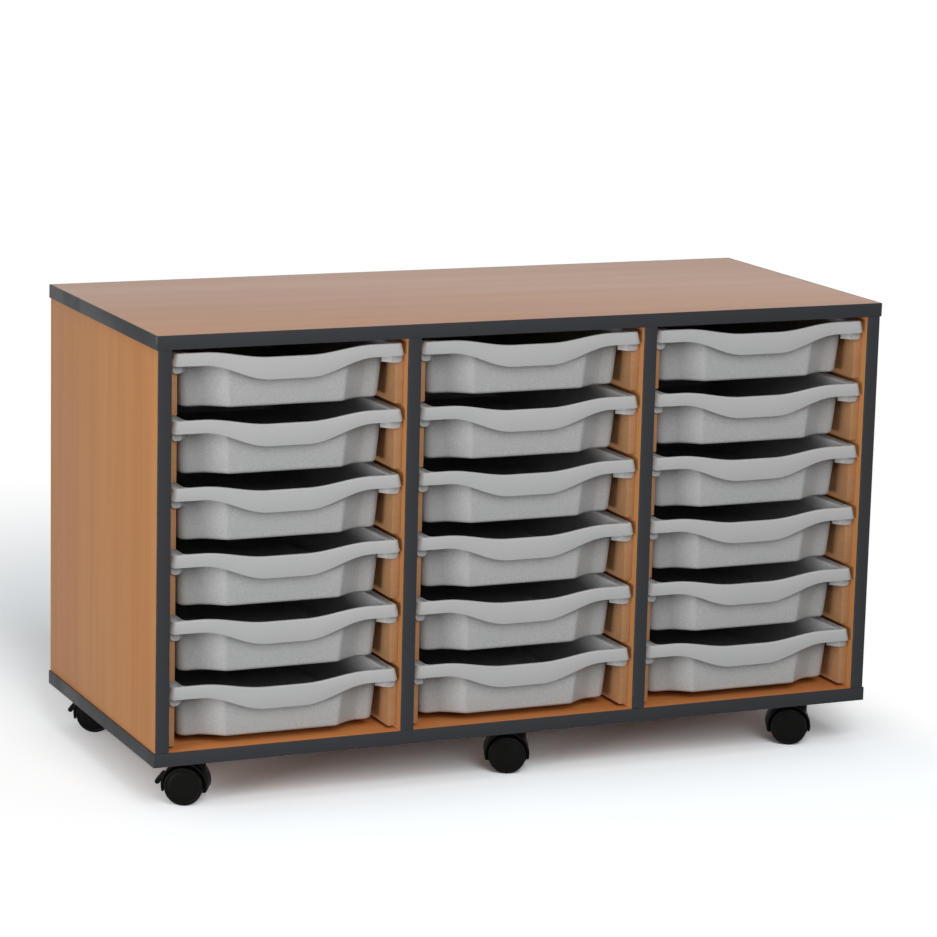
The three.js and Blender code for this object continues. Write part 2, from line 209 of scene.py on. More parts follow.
def pick(piece, kind, test):
    """Enters edit mode with the vertices, edges or faces selected that pass the test."""
    bpy.context.view_layer.objects.active = piece
    bpy.ops.object.mode_set(mode="EDIT")
    bpy.ops.mesh.select_mode(type=kind)
    bpy.ops.mesh.select_all(action="DESELECT")
    mesh = bmesh.from_edit_mesh(piece.data)
    for part in {"VERT": mesh.verts, "EDGE": mesh.edges, "FACE": mesh.faces}[kind]:
        if test(part):
            part.select_set(True)
    mesh.select_flush_mode()
    bmesh.update_edit_mesh(piece.data)


def back_to_object():
    bpy.ops.object.mode_set(mode="OBJECT")


def round_edges(piece, test, width, segments=3, wear=1.0):
    """Rounds the edges that pass the test, and marks how much the rounding wears."""
    pick(piece, "EDGE", test)
    bpy.ops.mesh.bevel(offset=width, segments=segments, affect="EDGES", clamp_overlap=True)
    mesh = bmesh.from_edit_mesh(piece.data)
    worn = mesh.faces.layers.float.get("worn") or mesh.faces.layers.float.new("worn")
    for face in mesh.faces:
        longest = max(edge.calc_length() for edge in face.edges)
        if face.select and face.calc_area() < WORN_FACE_SHARE * width * longest:
            face[worn] = wear
    bmesh.update_edit_mesh(piece.data)
    back_to_object()


def every_part(part):
    return True


def middle_of(edge):
    return (edge.verts[0].co + edge.verts[1].co) / 2


def runs_along(edge, axis):
    return abs((edge.verts[1].co - edge.verts[0].co).normalized()[axis]) > ALONG


def recalculate(piece, merged_within=1e-6):
    """Merges doubles and turns the faces of a closed piece outwards."""
    pick(piece, "FACE", every_part)
    bpy.ops.mesh.remove_doubles(threshold=merged_within)
    bpy.ops.mesh.normals_make_consistent(inside=False)
    back_to_object()


def apply_modifier(piece, kind, **settings):
    bpy.context.view_layer.objects.active = piece
    modifier = piece.modifiers.new(kind.lower(), kind)
    for name, value in settings.items():
        setattr(modifier, name, value)
    bpy.ops.object.modifier_apply(modifier=modifier.name)


def smooth(piece, degrees=35):
    start_fresh()
    piece.select_set(True)
    bpy.context.view_layer.objects.active = piece
    bpy.ops.object.shade_smooth_by_angle(angle=math.radians(degrees))


def join(pieces):
    """Joins pieces into the first of them."""
    start_fresh()
    for piece in pieces:
        piece.select_set(True)
    bpy.context.view_layer.objects.active = pieces[0]
    bpy.ops.object.join()
    return pieces[0]


def unite(piece, others):
    """Fuses other closed pieces into one body with the first."""
    for other in others:
        apply_modifier(piece, "BOOLEAN", operation="UNION", object=other, solver="EXACT")
        bpy.data.objects.remove(other)
    return piece


def cut_away(piece, cutter):
    """Takes another closed piece's room out of the first."""
    apply_modifier(piece, "BOOLEAN", operation="DIFFERENCE", object=cutter, solver="EXACT")
    bpy.data.objects.remove(cutter)


def placed_copy(model, name, matrix):
    piece = model.copy()
    piece.data = model.data.copy()
    piece.data.transform(matrix)
    piece.name = name
    bpy.context.scene.collection.objects.link(piece)
    return piece


def hand_over(piece, node, body, material):
    """Gives a finished piece its material, the body that it moves with and the solid that it stands for."""
    piece.data.materials.clear()
    piece.data.materials.append(material)
    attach(piece, body)
    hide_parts(node)


# Carcass

def board(name, node):
    """A board with a fine arris on every edge."""
    piece = add_block(name, *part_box(node))
    round_edges(piece, every_part, BOARD_ARRIS, 2)
    smooth(piece)
    return piece


def edge_band(name, node, core_node):
    """The band round a top or base: a block hollowed right through, with rounded outer edges."""
    low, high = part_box(node)
    core_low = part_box(core_node)[0]
    piece = add_block(name, low, high)
    pick(piece, "FACE", lambda face: abs(face.normal.z) > 0.5)
    bpy.ops.mesh.inset(thickness=core_low.x - low.x)
    bpy.ops.mesh.bridge_edge_loops()
    back_to_object()
    reach = Vector((high.x, high.y))

    def on_outside(edge):
        at_x = [abs(abs(vert.co.x) - reach.x) < TOUCHING for vert in edge.verts]
        at_y = [abs(abs(vert.co.y) - reach.y) < TOUCHING for vert in edge.verts]
        return all(at_x) or all(at_y)

    round_edges(piece, lambda edge: on_outside(edge) and runs_along(edge, 2), BAND_CORNER_ROUND, 3)
    round_edges(
        piece,
        lambda edge: not runs_along(edge, 2) and min(
            abs(middle_of(edge).z - low.z), abs(middle_of(edge).z - high.z)
        ) < TOUCHING and len(edge.link_faces) == 2 and any(
            abs(face.normal.z) < 0.5 and face.normal.dot(middle_of(edge)) > 0 for face in edge.link_faces
        ),
        BAND_ROUND,
        3,
        EDGE_WEAR_ALONG,
    )
    smooth(piece)
    return piece


def edge_strip(name, node):
    """The strip on an upright's front edge, rounded along its two front corners."""
    low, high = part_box(node)
    piece = add_block(name, low + Vector((0, 0, STRIP_FOOT_GAP)), high)
    round_edges(
        piece,
        lambda edge: runs_along(edge, 2) and middle_of(edge).y < (low.y + high.y) / 2,
        BAND_ROUND,
        3,
        EDGE_WEAR_ALONG,
    )
    smooth(piece)
    return piece


def runner_strips(name, node):
    """The six support strips on one side of a bay."""
    low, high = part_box(node)
    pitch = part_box("left_tray_1")[0].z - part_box("left_tray_2")[0].z
    strips = []
    for row in ROWS:
        head = high.z - (row - 1) * pitch
        strip = add_block(f"{name}_{row}", (low.x, low.y, head - STRIP_HEIGHT), (high.x, high.y, head))
        round_edges(strip, every_part, STRIP_ARRIS, 2)
        strips.append(strip)
    piece = join(strips)
    piece.name = name
    smooth(piece)
    return piece


# Trays

def tray_stations():
    """The places round a tray's outline: the stretch that each lies on and how far along it."""
    def even(steps):
        return [step / steps for step in range(steps)]

    back_to_front = [0.0] + [1 - share for share in reversed(SIDE_SHARES[1:])]
    stretches = [
        ("front", even(FRONT_STEPS)),
        ("front_right", even(CORNER_STEPS)),
        ("right", SIDE_SHARES),
        ("back_right", even(CORNER_STEPS)),
        ("back", even(BACK_STEPS)),
        ("back_left", even(CORNER_STEPS)),
        ("left", back_to_front),
        ("front_left", even(CORNER_STEPS)),
    ]
    return [(stretch, share) for stretch, shares in stretches for share in shares]


def outline_point(station, half, front, rear, front_radius, rear_radius):
    """A point of a rounded rectangle, counted from the left end of its front."""
    stretch, share = station
    side_run = rear - rear_radius - front - front_radius
    if stretch == "front":
        return (2 * share - 1) * (half - front_radius), front
    if stretch == "back":
        return (1 - 2 * share) * (half - rear_radius), rear
    if stretch == "right":
        return half, front + front_radius + share * side_run
    if stretch == "left":
        return -half, rear - rear_radius - share * side_run
    start = {"front_right": -90, "back_right": 0, "back_left": 90, "front_left": 180}[stretch]
    angle = math.radians(start + 90 * share)
    radius = front_radius if "front" in stretch else rear_radius
    centre_x = (half - radius) * (1 if "right" in stretch else -1)
    centre_y = front + radius if "front" in stretch else rear - radius
    return centre_x + radius * math.cos(angle), centre_y + radius * math.sin(angle)


def wave_share(x):
    """How far the fascia has dipped at a distance from the tray's middle, from 0 at its ends to 1."""
    flat_middle = TRAY_WIDTH / 2 - FASCIA_FLAT_END - FASCIA_WAVE_RUN
    along = min(max((abs(x) - flat_middle) / FASCIA_WAVE_RUN, 0), 1)
    return (1 + math.cos(math.pi * along)) / 2


def top_dip(station, x):
    return FASCIA_TOP_DIP * wave_share(x) if station[0] == "front" else 0


def bowl_point(station, inset, depth):
    """A point inside the bowl: inset from its wall, at a depth below the rim's top. Behind the lip the
    front slopes back to the bowl's nose and shoulders."""
    drawn_in = TRAY_WALL + inset + depth * math.tan(BOWL_DRAFT)
    half = TRAY_WIDTH / 2 - RIM_FLARE - RIM_LEDGE - drawn_in
    sloped = min(max((depth - RIM_ROUND) / BOWL_FRONT_SLOPE, 0), 1)
    lip = LIP_WIDTH + inset
    shoulder = lip + sloped * (BOWL_NOSE_OFFSET + BOWL_SHOULDER_SETBACK + drawn_in - lip)
    radius = LIP_CORNER_RADIUS + sloped * (BOWL_FRONT_RADIUS - LIP_CORNER_RADIUS)
    rear = TRAY_DEPTH - BOWL_BACK_OFFSET - drawn_in
    x, y = outline_point(station, half, shoulder, rear, radius, BOWL_CORNER_RADIUS)
    dip = top_dip(station, x) * (1 - sloped)
    if station[0] == "front":
        nose_end = half - BOWL_SHOULDER_WIDTH - BOWL_NOSE_BLEND
        along = min(max((abs(x) - nose_end) / BOWL_NOSE_BLEND, 0), 1)
        y -= sloped * BOWL_SHOULDER_SETBACK * (1 - along) ** BOWL_NOSE_CURVE
    return Vector((x, y, -depth - dip))


def rim_point(station, inset, depth):
    """A point on the outside of the rim: inset from it, at a depth below its top."""
    drawn_in = RIM_FLARE * (1 - depth / RIM_HEIGHT)
    half = TRAY_WIDTH / 2 - drawn_in - inset
    rear = TRAY_DEPTH - drawn_in - inset
    x, y = outline_point(station, half, inset, rear, RIM_FRONT_RADIUS, RIM_BACK_RADIUS)
    return Vector((x, y, -depth - top_dip(station, x)))


def ledge_point(station, share, groove):
    """A point on the flat of the rim, from its inner rounding to its outer one."""
    inner = bowl_point(station, -RIM_ROUND, 0)
    outer = rim_point(station, RIM_ROUND, 0)
    point = inner.lerp(outer, share)
    stretch, along = station
    from_front = along if "right" in stretch else 1 - along
    if stretch in ("left", "right") and from_front < GROOVE_END:
        point.z -= groove
    elif stretch in ("front_left", "front_right"):
        point.z -= groove * from_front
    return point


def foot_point(station):
    """A point on the lower edge of the skirt, which at the front is the fascia's wave."""
    stretch, along = station
    from_front = along if stretch == "right" else 1 - along
    beside_lug = stretch in ("left", "right") and from_front < FOOT_STEP_SHARE
    if "back" in stretch or stretch in ("left", "right") and not beside_lug:
        point = rim_point(station, 0, RIM_HEIGHT)
        point.z = -RIM_HEIGHT
        return point
    point = rim_point(station, 0, FASCIA_END_HEIGHT)
    wave = wave_share(point.x) if stretch == "front" else 0
    turned = {"front": 0, "front_right": along, "front_left": 1 - along}.get(stretch, 1)
    point.z = -FASCIA_END_HEIGHT - FASCIA_FOOT_DIP * wave + FASCIA_END_LIFT * turned ** 2
    return point


def tray_rings():
    """The rings of the tray's upper face, from its floor's edge up over the rim and down the skirt.
    Each is a function of a station, with its share of the bowl's texture."""
    floor_depth = TRAY_HEIGHT - TRAY_WALL
    quarter = [math.pi / 2 * step / ROUND_STEPS for step in range(ROUND_STEPS + 1)]
    rings = []

    def add(shape, textured, *values):
        rings.append((lambda station: shape(station, *values), textured))

    for angle in quarter:
        lift = BOWL_FOOT_ROUND * (1 - math.cos(angle))
        add(bowl_point, 1, BOWL_FOOT_ROUND * (1 - math.sin(angle)), floor_depth - lift)
    for depth in BOWL_DEPTHS:
        add(bowl_point, 1, 0, depth)
    for angle in quarter:
        outwards = RIM_ROUND * (1 - math.cos(angle))
        add(bowl_point, 1, -outwards, RIM_ROUND * (1 - math.sin(angle)))
    for share, depth in zip(GROOVE_SHARES, (0, GROOVE_DEPTH, GROOVE_DEPTH, 0)):
        add(ledge_point, 0.5, share, depth)
    for angle in quarter:
        add(rim_point, 0, RIM_ROUND * (1 - math.sin(angle)), RIM_ROUND * (1 - math.cos(angle)))
    rings.append((foot_point, 0))
    return rings


def lug(name, side):
    """A stop lug under one front corner of the rim, rounded below, with a thin rib that runs in to
    the bowl."""
    outer = TRAY_WIDTH / 2 - LUG_INSET
    inner = outer - LUG_WIDTH
    floor = -RIM_HEIGHT - LUG_DROP
    low_x, high_x = sorted((side * outer, side * inner))
    piece = add_block(name, (low_x, LUG_SETBACK, floor), (high_x, LUG_BACK, LUG_HEAD))
    round_edges(piece, lambda edge: runs_along(edge, 1) and middle_of(edge).z < LUG_HEAD, LUG_ROUND, 6)
    round_edges(piece, lambda edge: not runs_along(edge, 1) and middle_of(edge).z < LUG_HEAD, LUG_ARRIS, 2)
    start = Vector((side * (inner + LUG_ROUND), (LUG_SETBACK + LUG_BACK) / 2, 0))
    run = Vector((-side * RIB_RUN[0], RIB_RUN[1], 0))
    half = Vector((run.length / 2, TRAY_WALL / 2, 0))
    rib = add_block(f"{name}_rib", -half + Vector((0, 0, floor)), half + Vector((0, 0, LUG_HEAD)))
    turn = Matrix.Rotation(math.atan2(run.y, run.x), 4, "Z")
    rib.data.transform(Matrix.Translation(start + run / 2) @ turn)
    return join([piece, rib])


def model_tray():
    """One tray: its outline is drawn at the floor, extruded ring by ring over the rim, and given a wall."""
    stations = tray_stations()
    rings = tray_rings()
    start_fresh()
    bpy.ops.mesh.primitive_circle_add(vertices=len(stations), radius=TRAY_WIDTH / 2)
    tray = settle("tray_model")
    bpy.ops.object.mode_set(mode="EDIT")
    bpy.ops.mesh.select_mode(type="EDGE")
    mesh = bmesh.from_edit_mesh(tray.data)
    mesh.verts.layers.int.new("station")
    mesh.verts.layers.float.new("textured")
    place = mesh.verts.layers.int["station"]
    for number, vert in enumerate(mesh.verts):
        vert[place] = number
    bpy.ops.mesh.select_all(action="SELECT")
    for number, (shape, textured) in enumerate(rings):
        if number > 0:
            bpy.ops.mesh.extrude_region_move()
        mesh = bmesh.from_edit_mesh(tray.data)
        place = mesh.verts.layers.int["station"]
        texture = mesh.verts.layers.float["textured"]
        for vert in mesh.verts:
            if vert.select:
                vert.co = shape(stations[vert[place]])
                vert[texture] = textured
        bmesh.update_edit_mesh(tray.data)
    floor = -(TRAY_HEIGHT - TRAY_WALL)
    pick(tray, "EDGE", lambda edge: max(vert.co.z for vert in edge.verts) < floor + 1e-6)
    bpy.ops.mesh.edge_face_add()
    back_to_object()
    pick(tray, "FACE", every_part)
    bpy.ops.mesh.normals_make_consistent(inside=False)
    back_to_object()
    lowest = min(tray.data.polygons, key=lambda face: face.center.z)
    if lowest.normal.z < 0:
        pick(tray, "FACE", every_part)
        bpy.ops.mesh.flip_normals()
        back_to_object()
    tray.data.attributes.remove(tray.data.attributes["station"])
    apply_modifier(
        tray, "SOLIDIFY", thickness=TRAY_WALL, offset=-1, use_even_offset=True, use_quality_normals=True
    )
    apply_modifier(
        tray, "BEVEL", width=RIM_FOOT_ARRIS, segments=2, limit_method="ANGLE", angle_limit=math.radians(60)
    )
    join([tray, lug("left_lug", -1), lug("right_lug", 1)])
    smooth(tray, 40)
    return tray


# Castors

def round_face(piece, outward, inset, depth):
    """Insets the round end face of a piece that looks the given way along y."""
    pick(piece, "FACE", lambda face: face.normal.y * outward > 0.9 and len(face.verts) > 8)
    bpy.ops.mesh.inset(thickness=inset, depth=depth)
    back_to_object()


def model_wheels():
    """The two wheels of a castor on their axle: a crowned tread and a capped outer face with a groove."""
    across = (math.pi / 2, 0, 0)
    inner = WEB_THICKNESS / 2 + WHEEL_GAP
    wheels = []
    for side in (-1, 1):
        centre = (0, side * (inner + WHEEL_WIDTH / 2), 0)
        wheel = add_rod(f"wheel_{side}", WHEEL_RADIUS, WHEEL_WIDTH, WHEEL_SIDES, centre, across)
        round_edges(wheel, lambda edge: not runs_along(edge, 1), WHEEL_EDGE, 4)
        for inset, depth in WHEEL_FACE_RINGS:
            round_face(wheel, side, inset, depth)
        wheels.append(wheel)
    axle = add_rod("axle", AXLE_RADIUS, 2 * inner, 24, (0, 0, 0), across)
    piece = join([*wheels, axle])
    piece.name = "wheels_model"
    smooth(piece, 30)
    return piece


def fender():
    """The guard over both wheels: a flat section spun about the axle, with its two ends rounded."""
    start_fresh()
    middle = FENDER_INNER + FENDER_THICKNESS / 2
    bpy.ops.mesh.primitive_plane_add(size=1, location=(middle, 0, 0))
    bpy.ops.transform.resize(value=(FENDER_THICKNESS, FENDER_WIDTH, 1))
    piece = settle("fender")
    pick(piece, "FACE", every_part)
    sweep = math.pi + FENDER_DROOP + FENDER_LEVER_DROOP
    bpy.ops.mesh.spin(steps=FENDER_STEPS, angle=sweep, center=(0, 0, 0), axis=(0, 1, 0))
    back_to_object()
    recalculate(piece)
    piece.data.transform(Matrix.Rotation(FENDER_DROOP, 4, "Y"))

    def at_an_end(edge):
        middle = middle_of(edge)
        angle = math.atan2(middle.z, middle.x)
        if angle < -math.pi / 2:
            angle += 2 * math.pi
        from_end = min(abs(angle + FENDER_DROOP), abs(angle - math.pi - FENDER_LEVER_DROOP))
        return runs_along(edge, 1) and from_end < 1e-3

    round_edges(piece, at_an_end, FENDER_END_ROUND, 4)
    apply_modifier(
        piece, "BEVEL", width=FENDER_ARRIS, segments=2, limit_method="ANGLE", angle_limit=math.radians(50)
    )
    return piece


def web_between_wheels():
    """The plate between the wheels: a disc cut straight below the axle."""
    across = (math.pi / 2, 0, 0)
    radius = FENDER_INNER + FENDER_THICKNESS / 2
    piece = add_rod("web", radius, WEB_THICKNESS, WHEEL_SIDES, (0, 0, 0), across)
    pick(piece, "FACE", every_part)
    bpy.ops.mesh.bisect(
        plane_co=(0, 0, -WEB_SAG), plane_no=(0, 0, 1), use_fill=True, clear_inner=True
    )
    back_to_object()
    recalculate(piece)
    return piece


def model_hood(braked):
    """A castor's hood: fender, web and the neck that turns on the pin. A braked one has a slot for
    its lever."""
    neck_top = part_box("front_left_castor_hood")[1].z - AXLE_HEIGHT
    neck = add_rod("neck", NECK_RADIUS, neck_top, 48, (CASTOR_TRAIL, 0, neck_top / 2))
    round_edges(
        neck, lambda edge: not runs_along(edge, 2) and middle_of(edge).z > neck_top / 2, NECK_ROUND, 3
    )
    piece = unite(fender(), [web_between_wheels(), neck])
    piece.name = "braked_hood_model" if braked else "hood_model"
    inner = WEB_THICKNESS / 2
    for side in (-1, 1):
        room = add_rod(
            f"wheel_room_{side}",
            FENDER_INNER,
            FENDER_WIDTH,
            WHEEL_SIDES,
            (0, side * (inner + FENDER_WIDTH / 2), 0),
            (math.pi / 2, 0, 0),
        )
        cut_away(piece, room)
    if braked:
        slot = add_block("lever_slot", SLOT_LOW, SLOT_HIGH)
        slot.data.transform(Matrix.Rotation(SLOT_TILT, 4, "Y"))
        cut_away(piece, slot)
    recalculate(piece, MERGED_AFTER_CUTS)
    smooth(piece, 30)
    return piece


def round_bar(name, start, end, radius):
    """A bar across y with round ends, about the line between two points."""
    along = end - start
    half = Vector((along.length / 2 + radius, LEVER_WIDTH / 2, radius))
    piece = add_block(name, -half, half)
    round_edges(piece, lambda edge: runs_along(edge, 1), BAR_ROUND_SHARE * radius, 7)
    slope = Matrix.Rotation(math.atan2(-along.z, along.x), 4, "Y")
    piece.data.transform(Matrix.Translation((start + end) / 2) @ slope)
    return piece


def castor_turn(name):
    """The turn that lays a castor's own y along its axle."""
    axle = joints[f"{name}_wheel_spin"]["axis"]
    return Matrix.Rotation(math.atan2(-axle[0], axle[1]), 4, "Z")


def model_lever():
    """A brake lever about the axle: a bead, a neck, and a round-ended pedal that slopes down and out."""
    name = BRAKED_CASTORS[0]
    away = Vector(joints[f"{name}_brake_press"]["pos_m"]) - Vector(joints[f"{name}_wheel_spin"]["pos_m"])
    pivot = castor_turn(name).inverted() @ away
    bead = add_rod("bead", LEVER_BEAD_RADIUS, LEVER_WIDTH, 24, pivot, (math.pi / 2, 0, 0))
    neck = round_bar("neck", pivot, PEDAL_HEAD, LEVER_NECK_THICKNESS / 2)
    pedal = round_bar("lever_model", PEDAL_HEAD, PEDAL_TIP, PEDAL_RADIUS)
    round_edges(pedal, lambda edge: not runs_along(edge, 1), PEDAL_END_ROUND, 4)
    recalculate(pedal, MERGED_AFTER_CUTS)
    piece = join([pedal, neck, bead])
    smooth(piece, 40)
    return piece


def model_plate():
    """A castor's fixing plate about the swivel, with its pin and four dome-headed screws."""
    low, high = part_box("front_left_castor_plate")
    half = (high.x - low.x) / 2
    plate = add_block("plate_model", (-half, -half, -PLATE_THICKNESS), (half, half, 0))
    round_edges(plate, lambda edge: runs_along(edge, 2), PLATE_CORNER_RADIUS, 6)
    pin = add_rod("pin", PIN_RADIUS, PIN_LENGTH, 24, (0, 0, -PLATE_THICKNESS - PIN_LENGTH / 2))
    pieces = [plate, pin]
    for x in (-1, 1):
        for y in (-1, 1):
            reach = half - SCREW_INSET
            centre = (x * reach, y * reach, -PLATE_THICKNESS - SCREW_RISE / 2)
            head = add_rod("screw", SCREW_RADIUS, SCREW_RISE, 24, centre)
            round_edges(
                head,
                lambda edge: middle_of(edge).z < centre[2] and not runs_along(edge, 2),
                SCREW_ROUND,
                3,
            )
            pieces.append(head)
    piece = join(pieces)
    smooth(piece, 30)
    return piece


# Shader node groups

def new_group(name, inputs, outputs):
    """An empty node group with named sockets. Returns the group, its inputs and its outputs."""
    group = bpy.data.node_groups.new(name, "ShaderNodeTree")
    for label, kind, value in inputs:
        socket = group.interface.new_socket(label, in_out="INPUT", socket_type=kind)
        if value is not None:
            socket.default_value = value
    for label, kind in outputs:
        group.interface.new_socket(label, in_out="OUTPUT", socket_type=kind)
    return group, group.nodes.new("NodeGroupInput").outputs, group.nodes.new("NodeGroupOutput").inputs


def add_node(tree, kind, values=None, **settings):
    """A node with its settings and socket values. A value that is a socket is linked."""
    made = tree.nodes.new(kind)
    for name, value in settings.items():
        setattr(made, name, value)
    for name, value in (values or {}).items():
        if isinstance(value, bpy.types.NodeSocket):
            tree.links.new(value, made.inputs[name])
        else:
            made.inputs[name].default_value = value
    return made


def stretched_noise(tree, vector, scale, detail, roughness=0.5, distortion=0.0):
    """Noise drawn out along the axes that have the smaller scale."""
    mapped = add_node(tree, "ShaderNodeMapping", {"Vector": vector, "Scale": scale})
    return add_node(
        tree,
        "ShaderNodeTexNoise",
        {
            "Vector": mapped.outputs["Vector"],
            "Scale": 1.0,
            "Detail": detail,
            "Roughness": roughness,
            "Distortion": distortion,
        },
    ).outputs["Fac"]


def ramp_between(tree, value, low, high, to_low=0.0, to_high=1.0):
    """A value brought smoothly from one range to another, and held at its ends."""
    return add_node(
        tree,
        "ShaderNodeMapRange",
        {"Value": value, "From Min": low, "From Max": high, "To Min": to_low, "To Max": to_high},
        interpolation_type="SMOOTHSTEP",
    ).outputs["Result"]


def combine(tree, operation, first, second):
    made = add_node(tree, "ShaderNodeMath", {0: first, 1: second}, operation=operation)
    return made.outputs["Value"]


def mix_colours(tree, share, first, second):
    made = add_node(tree, "ShaderNodeMix", data_type="RGBA")
    for number, value in ((0, share), (6, first), (7, second)):
        if isinstance(value, bpy.types.NodeSocket):
            tree.links.new(value, made.inputs[number])
        else:
            made.inputs[number].default_value = value
    return made.outputs[2]


def beech_figure_group():
    """Beech with its grain along x: broad bands, fine lines and short dark flecks."""
    group, given, made = new_group(
        "beech figure",
        [
            ("Vector", "NodeSocketVector", None),
            ("Pale", "NodeSocketColor", (0.5, 0.3, 0.2, 1)),
            ("Deep", "NodeSocketColor", (0.4, 0.2, 0.1, 1)),
            ("Fleck", "NodeSocketColor", (0.2, 0.1, 0.05, 1)),
            ("Fleck Share", "NodeSocketFloat", 0.35),
        ],
        [("Color", "NodeSocketColor"), ("Height", "NodeSocketFloat"), ("Sheen", "NodeSocketFloat")],
    )
    vector = given["Vector"]
    bands = stretched_noise(group, vector, (1.1, 26, 26), 4, 0.55, 0.4)
    lines = stretched_noise(group, vector, (4, 260, 260), 3, 0.6)
    flecks = stretched_noise(group, vector, (110, 1500, 1500), 2, 0.5)
    band_share = ramp_between(group, bands, 0.3, 0.7)
    line_share = ramp_between(group, lines, 0.3, 0.7)
    broad = combine(group, "MULTIPLY", band_share, 0.6)
    tone = combine(group, "ADD", broad, combine(group, "MULTIPLY", line_share, 0.4))
    fleck_mask = ramp_between(group, flecks, 0.58, 0.72)
    fleck_share = combine(group, "MULTIPLY", fleck_mask, given["Fleck Share"])
    wood = mix_colours(group, tone, given["Pale"], given["Deep"])
    coloured = mix_colours(group, fleck_share, wood, given["Fleck"])
    group.links.new(coloured, made["Color"])
    group.links.new(combine(group, "SUBTRACT", line_share, fleck_mask), made["Height"])
    group.links.new(ramp_between(group, bands, 0.2, 0.8, -0.02, 0.02), made["Sheen"])
    return group


def speckle_group():
    """A fine moulded or milled texture over a slow drift in tone."""
    group, given, made = new_group(
        "fine speckle",
        [
            ("Vector", "NodeSocketVector", None),
            ("Grain Scale", "NodeSocketFloat", 900.0),
            ("Drift Scale", "NodeSocketFloat", 9.0),
        ],
        [("Grain", "NodeSocketFloat"), ("Drift", "NodeSocketFloat")],
    )
    grain = add_node(
        group,
        "ShaderNodeTexNoise",
        {"Vector": given["Vector"], "Scale": given["Grain Scale"], "Detail": 2.0, "Roughness": 0.6},
    )
    drift = add_node(
        group,
        "ShaderNodeTexNoise",
        {"Vector": given["Vector"], "Scale": given["Drift Scale"], "Detail": 3.0, "Roughness": 0.5},
    )
    group.links.new(ramp_between(group, grain.outputs["Fac"], 0.3, 0.7), made["Grain"])
    group.links.new(ramp_between(group, drift.outputs["Fac"], 0.3, 0.7), made["Drift"])
    return group


def edge_wear_group():
    """A broken mask along the rounded edges of a piece."""
    group, given, made = new_group(
        "edge wear",
        [
            ("Vector", "NodeSocketVector", None),
            ("Edge", "NodeSocketFloat", 0.0),
            ("Break Scale", "NodeSocketFloat", 60.0),
        ],
        [("Mask", "NodeSocketFloat")],
    )
    noise = add_node(
        group,
        "ShaderNodeTexNoise",
        {"Vector": given["Vector"], "Scale": given["Break Scale"], "Detail": 4.0, "Roughness": 0.6},
    )
    broken = ramp_between(group, noise.outputs["Fac"], 0.42, 0.62)
    group.links.new(combine(group, "MULTIPLY", given["Edge"], broken), made["Mask"])
    return group


BEECH_FIGURE = beech_figure_group()
SPECKLE = speckle_group()
EDGE_WEAR = edge_wear_group()


# Finishes

def colour(red, green, blue):
    """A colour given as it looks on screen, from 0 to 255, as a shader takes it."""
    def linear(value):
        share = value / 255
        return share / 12.92 if share <= 0.04045 else ((share + 0.055) / 1.055) ** 2.4

    return (linear(red), linear(green), linear(blue), 1)


def new_finish(name):
    """A material with its own shader. Returns the material, its tree, its shader and Object coordinates."""
    material = bpy.data.materials.new(name)
    material.use_nodes = True
    tree = material.node_tree
    shader = tree.nodes["Principled BSDF"]
    place = tree.nodes.new("ShaderNodeTexCoord").outputs["Object"]
    return material, tree, shader, place


def use_group(tree, group, values):
    """A group placed in a material with its own values. Returns its outputs."""
    return add_node(tree, "ShaderNodeGroup", values, node_tree=group).outputs


def attribute(tree, name):
    """A value that was written into the mesh while it was modelled."""
    return add_node(tree, "ShaderNodeAttribute", attribute_name=name).outputs["Fac"]


def worn_edges(tree, place, scale):
    return use_group(
        tree, EDGE_WEAR, {"Vector": place, "Edge": attribute(tree, "worn"), "Break Scale": scale}
    )["Mask"]


def bump(tree, shader, height, strength, distance):
    made = add_node(
        tree, "ShaderNodeBump", {"Height": height, "Strength": strength, "Distance": distance}
    )
    tree.links.new(made.outputs["Normal"], shader.inputs["Normal"])


def beech_finish(name, turn, pale, deep, fleck, roughness, gloss):
    """Beech-effect board, with the turn that lays its grain along the board."""
    material, tree, shader, place = new_finish(name)
    turned = add_node(tree, "ShaderNodeMapping", {"Vector": place, "Rotation": turn}).outputs["Vector"]
    figure = use_group(
        tree, BEECH_FIGURE, {"Vector": turned, "Pale": pale, "Deep": deep, "Fleck": fleck}
    )
    tree.links.new(figure["Color"], shader.inputs["Base Color"])
    tree.links.new(combine(tree, "ADD", figure["Sheen"], roughness), shader.inputs["Roughness"])
    bump(tree, shader, figure["Height"], 0.06, 0.0002)
    shader.inputs["Specular IOR Level"].default_value = gloss
    return material


def edging_finish():
    """Charcoal plastic band: satin, finely grained, and worn pale in places along its corners."""
    material, tree, shader, place = new_finish("charcoal_edging")
    speckle = use_group(tree, SPECKLE, {"Vector": place, "Grain Scale": 700.0, "Drift Scale": 14.0})
    wear = worn_edges(tree, place, 90.0)
    grained = mix_colours(tree, speckle["Grain"], colour(52, 53, 56), colour(58, 59, 62))
    worn = mix_colours(tree, combine(tree, "MULTIPLY", wear, 0.5), grained, colour(140, 135, 128))
    tree.links.new(worn, shader.inputs["Base Color"])
    tree.links.new(ramp_between(tree, speckle["Drift"], 0, 1, 0.42, 0.54), shader.inputs["Roughness"])
    bump(tree, shader, speckle["Grain"], 0.08, 0.0001)
    shader.inputs["Specular IOR Level"].default_value = 0.08
    return material


